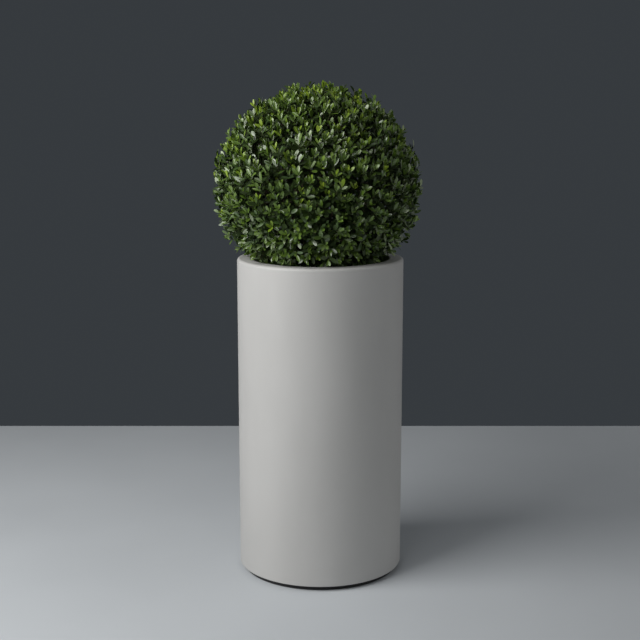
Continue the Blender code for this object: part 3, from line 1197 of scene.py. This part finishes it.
@dataclass
class Foliage(SubAssembly):
    """The ball: boughs from the fork, branches, branchlets and twigs, and leaves in sprays.

    Each level grows from the nearest limb of the level before it, and the limbs of a level end
    evenly over the ball.

    Attributes:
        trunk: The trunk that the boughs leave.
        space: The ball's space.
        boughs: The first level.
        branches: The second level.
        branchlets: The third level.
        twigs: The last level, which bears the leaves.
        bough_rise: How far the boughs' middles are lifted.
        in_line_power: How fast a limb's start moves back as it turns away from its parent.
        start_spread: Least and greatest factor on the place where it starts.
        unevenness: Spread of the twigs' reach.
        lumps: Height of the broad unevenness of the clipped surface.
        lump_scale: Fineness of that unevenness.
        proud: Share of the twigs that stand proud of the rest.
        proud_by: How far the furthest of them do.
        proud_least: Share of that distance by which the others do at least.
        heading_stray: How far the twigs' ends stray from the way that they head.
        twig_bend: Share of a twig's length from its end back to the middle point of its curve.
        lift_low: How much the lowest twigs turn up at their ends.
        lift_high: How much the upper ones do.
        lift_from: Height at which the turn begins to grow, as a share of the ball's radius.
        lift_over: Share of the radius over which it grows.
        node_distances: Distances of a twig's pairs of leaves from its end.
        node_lengths: Lengths of the leaves in each pair.
        node_spreads: Angles in degrees between them and the twig.
        node_lies: How far they lie back along the ball's surface.
        lowest_share: The lowest place on a twig for a pair, as a share of its length.
        pair_stray: Spread in radians of a pair's turn about its twig.
        leaf_stray: Spread in radians of each leaf's turn from that.
        spread_stray: Spread in degrees of the angle between leaf and twig.
        leaf_up: How much all the leaves turn up.
        leaf_growth: Least and greatest factor on a leaf's length.
        leaf_slimness: Least and greatest half width of a leaf as a share of its length.
        leaf_keel: Least and greatest slope of a leaf's halves from its midrib.
        leaf_recurve: Least and greatest droop of a leaf's tip as a share of its length.
        face_out: How far the leaves' upper sides turn outwards.
        face_up: How far they turn up.
        face_up_low: How much further they do at the ball's foot.
        face_low_from: Height from which they do, as a share of the ball's radius.
        face_stray: How far they stray from that.
        tone: Mean place in ALL_TONES of a spray's colour, at the height of the ball's middle.
        tone_spread: Spread of that place.
        tone_and_glow_rise: How far it rises from there to the ball's top, towards lighter colours:
            partly fresher growth, partly painted glow of the light through the top leaves.
        inner_age_and_painted_shade: How many places darker the third pair from a twig's end is: painted
            shade, with some of the darker colour of older leaves.
        fresh: Share of the twigs with new tips, at the height of the ball's middle.
        fresh_and_glow_rise: How far that share rises from there to the top: partly new growth, partly
            painted glow of the light through the top leaves.
        fresh_limits: Least and greatest share.
        new_tone: Mean and spread of a new tip's place among the colours of new leaves.
        seed: Seed of everything random in the ball.
        chance: The random numbers, started from the seed when the ball is built.
    """

    trunk: Trunk
    space: BallSpace
    boughs: LimbLevel = LimbLevel(9, 0.140, (0.0075, 0.0045), 26, 14, relief=0.07)
    branches: LimbLevel = LimbLevel(114, 0.178, (0.0030, 0.0018), 9, 7, 0.05, (0.45, 1.0), 0.03)
    branchlets: LimbLevel = LimbLevel(520, 0.196, (0.0017, 0.0010), 6, 5, 0.0, (0.35, 0.95), 0.02)
    twigs: LimbLevel = LimbLevel(2000, 0.2385, (0.00085, 0.00045), 7, 3, stray=0.022)
    bough_rise: float = 0.012
    in_line_power: int = 4
    start_spread: tuple = (0.80, 1.0)
    unevenness: float = 0.0100
    lumps: float = 0.0080
    lump_scale: float = 3.1
    proud: float = 0.13
    proud_by: float = 0.014
    proud_least: float = 0.5
    heading_stray: float = 0.20
    twig_bend: float = 0.45
    lift_low: float = 0.05
    lift_high: float = 1.45
    lift_from: float = -0.65
    lift_over: float = 0.90
    node_distances: tuple = (0.0005, 0.0060, 0.0130, 0.0205, 0.0285)
    node_lengths: tuple = (0.0165, 0.0200, 0.0210, 0.0205, 0.0195)
    node_spreads: tuple = (17.0, 33.0, 47.0, 60.0, 70.0)
    node_lies: tuple = (0.0, 0.20, 0.36, 0.42, 0.30)
    lowest_share: float = 0.05
    pair_stray: float = 0.16
    leaf_stray: float = 0.09
    spread_stray: float = 8.0
    leaf_up: float = 0.10
    leaf_growth: tuple = (0.80, 1.16)
    leaf_slimness: tuple = (0.168, 0.218)
    leaf_keel: tuple = (-0.10, 0.36)
    leaf_recurve: tuple = (-0.02, 0.20)
    face_out: float = 0.95
    face_up: float = 0.25
    face_up_low: float = 0.60
    face_low_from: float = 0.35
    face_stray: float = 0.38
    tone: float = 3.3
    tone_spread: float = 1.15
    tone_and_glow_rise: float = 0.5
    inner_age_and_painted_shade: int = 2
    fresh: float = 0.11
    fresh_and_glow_rise: float = 0.30
    fresh_limits: tuple = (0.03, 0.5)
    new_tone: tuple = (0.5, 0.8)
    seed: int = 7
    chance: np.random.Generator = field(init=False)

    def build(self) -> None:
        """Makes the pieces of the ball."""
        self.chance = np.random.default_rng(self.seed)
        ends = self.space.centre + even_directions(self.boughs.count) * self.boughs.reach
        starts = np.repeat(self.trunk.fork()[None], self.boughs.count, axis=0)
        boughs = (starts, (starts + ends) / 2.0 + UP * self.bough_rise, ends)
        branches = self.grow_level(boughs, self.branches)
        branchlets = self.grow_level(branches, self.branchlets)
        limbs = [
            self.limbs(boughs, self.boughs),
            self.limbs(branches, self.branches),
            self.limbs(branchlets, self.branchlets),
        ]
        mesh = Shape.joined(limbs).mesh("bough_bark")
        mesh.materials.append(BOUGH_BARK.material())
        self.add("bough_bark", mesh, Slot.TRUNK, Node.FOLIAGE)
        self.build_sprays(branchlets)

    @staticmethod
    def limbs(curves: tuple, level: LimbLevel) -> Shape:
        """Makes the tapering limbs of a level.

        Args:
            curves: Starts, middles and ends of the limbs.
            level: Their level.

        Returns:
            All the limbs as one shape.
        """
        paths = bent(*curves, np.linspace(0.0, 1.0, level.steps))
        widths = np.repeat(np.linspace(*level.radii, level.steps)[None], len(paths), axis=0)
        return tubes(paths, widths, level.sides, level.relief)

    def grow_level(self, parents: tuple, level: LimbLevel) -> tuple:
        """Grows limbs that end evenly over the ball, each from the nearest limb of the last level.

        Args:
            parents: Starts, middles and ends of the parent limbs.
            level: The level of the new limbs.

        Returns:
            Starts, middles and ends of the new limbs.
        """
        stray = self.chance.uniform(-level.stray, level.stray, (level.count, 3))
        ways = unit(even_directions(level.count) + stray)
        ends = self.space.centre + ways * level.reach
        distance = np.linalg.norm(ends[:, None] - parents[2][None], axis=-1)
        nearest = np.argmin(distance, axis=1)
        in_line = np.einsum("ij,ij->i", unit(parents[2][nearest] - self.space.centre), ways)
        low, high = level.parent_shares
        share = low + (high - low) * np.clip(in_line, 0.0, 1.0) ** self.in_line_power
        share = share * self.chance.uniform(*self.start_spread, level.count)
        chosen = tuple(curve[nearest] for curve in parents)
        starts = bent(*chosen, share[:, None])[:, 0]
        onward = unit(chosen[2] - chosen[0])
        length = np.linalg.norm(ends - starts, axis=1, keepdims=True)
        middles = starts + unit(onward + unit(ends - starts)) * length / 2.0
        return starts, middles, ends

    def build_sprays(self, branchlets: tuple) -> None:
        """Makes the twigs and their leaves.

        Args:
            branchlets: Starts, middles and ends of the branchlets.
        """
        chance = self.chance
        centre = self.space.centre
        count = self.twigs.count
        ways = unit(even_directions(count) + chance.normal(0.0, self.twigs.stray, (count, 3)))
        outward = unit(branchlets[2] - centre)
        parent = np.argmax(ways @ outward.T, axis=1)
        reach = self.twigs.reach + chance.normal(0.0, self.unevenness, count)
        reach += self.lumps * np.array([noise.noise(Vector(way) * self.lump_scale) for way in ways])
        stands = chance.random(count) < self.proud
        reach = reach + stands * self.proud_by * chance.uniform(self.proud_least, 1.0, count)
        rise = np.clip((ways[:, 2] - self.lift_from) / self.lift_over, 0.0, 1.0)
        lift = self.lift_low + (self.lift_high - self.lift_low) * eased(rise)
        stray = chance.normal(0.0, self.heading_stray, (count, 3))
        heading = unit(ways + UP * lift[:, None] + stray)
        reach = reach - self.node_lengths[0] * np.einsum("ij,ij->i", heading, ways)
        ends = centre + ways * reach[:, None]
        chosen = tuple(curve[parent] for curve in branchlets)
        starts = bent(*chosen, chance.uniform(*self.twigs.parent_shares, (count, 1)))[:, 0]
        length = np.linalg.norm(ends - starts, axis=1)
        middles = ends - heading * (self.twig_bend * length)[:, None]
        curves = (starts, middles, ends)
        along = bent(*curves, np.linspace(0.0, 1.0, self.twigs.steps))
        good = self.space.clear(along).all(axis=1)
        LOG.info("twigs: %d of %d in the clear", int(good.sum()), count)
        curves = tuple(curve[good] for curve in curves)
        mesh = self.limbs(curves, self.twigs).mesh("twigs")
        mesh.materials.append(TWIG_BARK.material())
        self.add("twigs", mesh, Slot.TRUNK, Node.FOLIAGE)
        self.build_leaves(curves, ways[good], length[good])

    def place_leaves(self, curves: tuple, ways: np.ndarray, length: np.ndarray) -> tuple:
        """Places the leaves in opposite pairs that turn by a right angle from node to node.

        Args:
            curves: Starts, middles and ends of the twigs.
            ways: Directions from the ball's middle to the twigs' ends.
            length: Lengths of the twigs.

        Returns:
            Where each leaf leaves its twig, its direction, and the way that its upper side faces.
        """
        chance = self.chance
        twigs = len(ways)
        nodes = len(self.node_distances)
        shares = 1.0 - np.array(self.node_distances) / length[:, None]
        shares = np.clip(shares, self.lowest_share, 1.0)
        roots = bent(*curves, shares)
        axis = unit(bent(*curves, shares + STEP_AHEAD) - roots)
        side = unit(np.cross(axis, ways[:, None] + SIDE_SLANT))
        across = np.cross(axis, side)
        turn = chance.uniform(0.0, 2.0 * math.pi, twigs)[:, None] + np.arange(nodes) * math.pi / 2.0
        turn = turn + chance.normal(0.0, self.pair_stray, (twigs, nodes))
        both = turn[..., None] + np.array([0.0, math.pi])
        both = both + chance.normal(0.0, self.leaf_stray, (twigs, nodes, 2))
        away = side[:, :, None] * np.cos(both)[..., None] + across[:, :, None] * np.sin(both)[..., None]
        spread = np.radians(np.array(self.node_spreads)[None, :, None])
        spread = spread + np.radians(chance.normal(0.0, self.spread_stray, (twigs, nodes, 2)))
        axis = np.repeat(axis[:, :, None], 2, axis=2)
        direction = axis * np.cos(spread)[..., None] + away * np.sin(spread)[..., None]
        facing = axis * np.sin(spread)[..., None] - away * np.cos(spread)[..., None]
        out = ways[:, None, None]
        lies = np.array(self.node_lies)[:, None, None]
        direction = direction - lies * out * np.sum(direction * out, axis=-1, keepdims=True)
        direction = unit(direction + self.leaf_up * UP)
        rise = self.face_up + self.face_up_low * np.clip(self.face_low_from - out[..., 2:], 0.0, 1.0)
        stray = chance.normal(0.0, self.face_stray, facing.shape)
        facing = facing + self.face_out * out + rise * UP + stray
        facing = unit(facing - direction * np.sum(facing * direction, axis=-1, keepdims=True))
        return np.repeat(roots[:, :, None], 2, axis=2), direction, facing

    def build_leaves(self, curves: tuple, ways: np.ndarray, length: np.ndarray) -> None:
        """Makes the leaves of all the twigs, as one piece for each colour.

        Args:
            curves: Starts, middles and ends of the twigs.
            ways: Directions from the ball's middle to the twigs' ends.
            length: Lengths of the twigs.
        """
        places = self.place_leaves(curves, ways, length)
        growth = self.chance.uniform(*self.leaf_growth, places[0].shape[:-1])
        leaf_length = np.array(self.node_lengths)[None, :, None] * growth
        half_width = leaf_length * self.chance.uniform(*self.leaf_slimness, growth.shape)
        tones = self.deal_tones(ways)
        rows = (place.reshape(-1, 3) for place in places)
        points = self.leaf_points(*rows, leaf_length.ravel(), half_width.ravel())
        good = self.space.clear(points).all(axis=1)
        LOG.info("leaves: %d of %d in the clear", int(good.sum()), len(good))
        points = points[good]
        tones = tones.ravel()[good]
        for index, tone in enumerate(ALL_TONES):
            self.build_leaf_piece(tone, points[tones == index])

    def deal_tones(self, ways: np.ndarray) -> np.ndarray:
        """Deals the leaf colours out by spray.

        Args:
            ways: Directions from the ball's middle to the twigs' ends.

        Returns:
            The place in ALL_TONES of each leaf's colour.
        """
        chance = self.chance
        twigs = len(ways)
        upward = ways[:, 2]
        last_mature = len(MATURE_TONES) - 1
        last_new = len(ALL_TONES) - len(MATURE_TONES) - 1
        # Lighter colours towards the top: partly fresher growth, partly painted glow of the light that
        # shines through the top leaves.
        dealt = chance.normal(0.0, self.tone_spread, twigs) + self.tone + self.tone_and_glow_rise * upward
        mature = np.clip(np.round(dealt), 0, last_mature).astype(int)
        # More new tips towards the top: partly real new growth, partly painted glow of the light
        # through the top leaves.
        share = np.clip(self.fresh + self.fresh_and_glow_rise * upward, *self.fresh_limits)
        fresh = chance.random(twigs) < share
        dealt = np.round(chance.normal(*self.new_tone, twigs))
        new = len(MATURE_TONES) + np.clip(dealt, 0, last_new).astype(int)
        tones = np.repeat(mature[:, None], len(self.node_distances), axis=1)
        tones[:, 0] = np.where(fresh, new, np.minimum(mature + 1, last_mature))
        tones[:, 1] = np.where(fresh, np.maximum(new - 1, last_mature), tones[:, 1])
        # Painted shade: the third pair is dealt a darker colour for the shade that it lies in, as well
        # as for its age.
        tones[:, 2] = np.maximum(tones[:, 2] - self.inner_age_and_painted_shade, 0)
        # The pairs further in take the first tone, painted shade for the shade that they lie in.
        tones[:, 3:] = 0
        return np.repeat(tones[:, :, None], 2, axis=2)

    def leaf_points(
        self,
        roots: np.ndarray,
        direction: np.ndarray,
        facing: np.ndarray,
        length: np.ndarray,
        half_width: np.ndarray,
    ) -> np.ndarray:
        """Places the points of every leaf.

        Args:
            roots: Where the leaves leave their twigs.
            direction: From root to tip.
            facing: The way that the upper side faces.
            length: Lengths of the leaves.
            half_width: Half their widths.

        Returns:
            One row of points for each leaf.
        """
        across = np.cross(facing, direction)
        count = len(roots)
        keel = self.chance.uniform(*self.leaf_keel, count)[:, None]
        recurve = self.chance.uniform(*self.leaf_recurve, count)[:, None]
        x = LEAF_OUTLINE[:, 0] * half_width[:, None]
        z = LEAF_OUTLINE[:, 1] * length[:, None]
        y = keel * np.abs(x) - recurve * LEAF_OUTLINE[:, 1] ** 2 * length[:, None]
        return (
            roots[:, None]
            + across[:, None] * x[..., None]
            + facing[:, None] * y[..., None]
            + direction[:, None] * z[..., None]
        )

    def build_leaf_piece(self, tone: LeafTone, points: np.ndarray) -> None:
        """Makes one piece of all the leaves of one colour.

        Args:
            tone: The leaves' colour.
            points: One row of points for each leaf.
        """
        count = len(points)
        start = (np.arange(count) * len(LEAF_OUTLINE))[:, None, None]
        faces = (LEAF_FACES[None] + start).reshape(-1, 3)
        name = f"leaves_{tone.name.lower()}"
        mesh = Shape(points.reshape(-1, 3), [faces]).mesh(name)
        edges = np.zeros(len(mesh.edges) * 2, np.int32)
        mesh.edges.foreach_get("vertices", edges)
        on_midrib = (edges.reshape(-1, 2) % len(LEAF_OUTLINE) < len(LEAF_ROWS)).all(axis=1)
        mesh.attributes.new("sharp_edge", "BOOLEAN", "EDGE").data.foreach_set("value", on_midrib)
        mesh.materials.append(tone.value.material(name))
        self.add(name, mesh, Slot.FOLIAGE, Node.FOLIAGE)


@dataclass(frozen=True)
class PhotoCamera:
    """The camera at the photograph's viewing angle.

    Attributes:
        focal_px: Focal length in pixels of the image.
        image_px: Width of the image in pixels.
        sensor_mm: Width of the sensor.
        pitch_deg: How far the camera looks down.
        distance: How far in front of the planter's axis it stands.
        height: Its height.
        left: How far left of the planter's axis it stands.
    """

    focal_px: float = 1265.08
    image_px: float = 640.0
    sensor_mm: float = 36.0
    pitch_deg: float = 10.589
    distance: float = 3.0225
    height: float = 1.1820
    left: float = 0.00064

    def build(self) -> None:
        """Makes the camera and gives it to the scene."""
        data = bpy.data.cameras.new("photo_camera")
        data.sensor_width = self.sensor_mm
        data.lens = self.focal_px / self.image_px * self.sensor_mm
        camera = bpy.data.objects.new("photo_camera", data)
        camera.location = (-self.left, -self.distance, self.height)
        camera.rotation_euler = (math.radians(90.0 - self.pitch_deg), 0.0, 0.0)
        bpy.context.scene.collection.objects.link(camera)
        bpy.context.scene.camera = camera
        LOG.info("camera with a lens of %.2f mm", data.lens)


@dataclass(frozen=True)
class SoftLight:
    """One square soft light that faces a point over the planter.

    Attributes:
        name: The light's name.
        azimuth: Where it stands, in degrees from in front towards the right.
        elevation: Its angle above the point, in degrees.
        distance: Its distance from the point.
        size: Length of its sides.
        power: Its power in watts.
        colour: Its colour.
        aim: Height of the point that it faces.
    """

    name: str
    azimuth: float
    elevation: float
    distance: float
    size: float
    power: float
    colour: tuple = (1.0, 1.0, 1.0)
    aim: float = 0.75

    def build(self) -> None:
        """Makes the light."""
        data = bpy.data.lights.new(self.name, "AREA")
        data.shape = "SQUARE"
        data.size = self.size
        data.energy = self.power
        data.color = self.colour
        light = bpy.data.objects.new(self.name, data)
        azimuth = math.radians(self.azimuth)
        elevation = math.radians(self.elevation)
        back = Vector(
            (
                math.sin(azimuth) * math.cos(elevation),
                -math.cos(azimuth) * math.cos(elevation),
                math.sin(elevation),
            )
        )
        light.location = Vector((0.0, 0.0, self.aim)) + back * self.distance
        light.rotation_mode = "QUATERNION"
        light.rotation_quaternion = back.to_track_quat("Z", "Y")
        light.visible_camera = False
        bpy.context.scene.collection.objects.link(light)


@dataclass
class Studio:
    """The pale floor, the dark room behind it and the soft lights.

    Attributes:
        floor_back: How far behind the planter's axis the floor ends.
        floor_front: How far it runs in front.
        floor_side: How far it runs to each side.
        room: Colour of the room.
        room_strength: Brightness of the room.
        lights: The soft lights.
    """

    floor_back: float = 1.2754
    floor_front: float = 4.5
    floor_side: float = 4.0
    room: tuple = (0.0375, 0.0430, 0.0485)
    room_strength: float = 1.0
    lights: tuple = (
        SoftLight("key", -59.0, 28.0, 2.4, 1.9, 62.0, (1.0, 0.99, 0.98)),
        SoftLight("front", -24.0, 33.0, 3.0, 1.6, 11.5),
        SoftLight("fill", 90.0, 16.0, 3.2, 3.6, 23.0, (1.0, 0.985, 0.97)),
        SoftLight("back", 160.0, 30.0, 3.2, 2.0, 2.0, (0.96, 0.98, 1.0)),
    )

    def build(self) -> None:
        """Makes the floor, the room and the lights."""
        corners = [
            (-self.floor_side, -self.floor_front, 0.0),
            (self.floor_side, -self.floor_front, 0.0),
            (self.floor_side, self.floor_back, 0.0),
            (-self.floor_side, self.floor_back, 0.0),
        ]
        mesh = Shape(np.array(corners), [np.array([[0, 1, 2, 3]])]).mesh("floor")
        mesh.materials.append(PALE_FLOOR.material())
        floor = bpy.data.objects.new("floor", mesh)
        bpy.context.scene.collection.objects.link(floor)
        floor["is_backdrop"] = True
        world = bpy.data.worlds.new("room")
        world.use_nodes = True
        background = world.node_tree.nodes["Background"]
        background.inputs["Color"].default_value = (*self.room, 1.0)
        background.inputs["Strength"].default_value = self.room_strength
        scene = bpy.context.scene
        scene.world = world
        scene.view_settings.view_transform = "Standard"
        for light in self.lights:
            light.build()


def main() -> None:
    """Builds the camera, the studio and the pieces."""
    logging.basicConfig(level=logging.INFO, format="%(name)s %(message)s")
    cad_low, cad_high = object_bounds()
    site = Site.from_frame(cad_low, cad_high)
    PhotoCamera().build()
    Studio().build()
    space = BallSpace(site)
    trunk = Trunk(site, space)
    for part in (Planter(site), PlanterFoot(site), Soil(site), trunk, Foliage(site, trunk, space)):
        part.build()


if __name__ == "__main__":
    main()
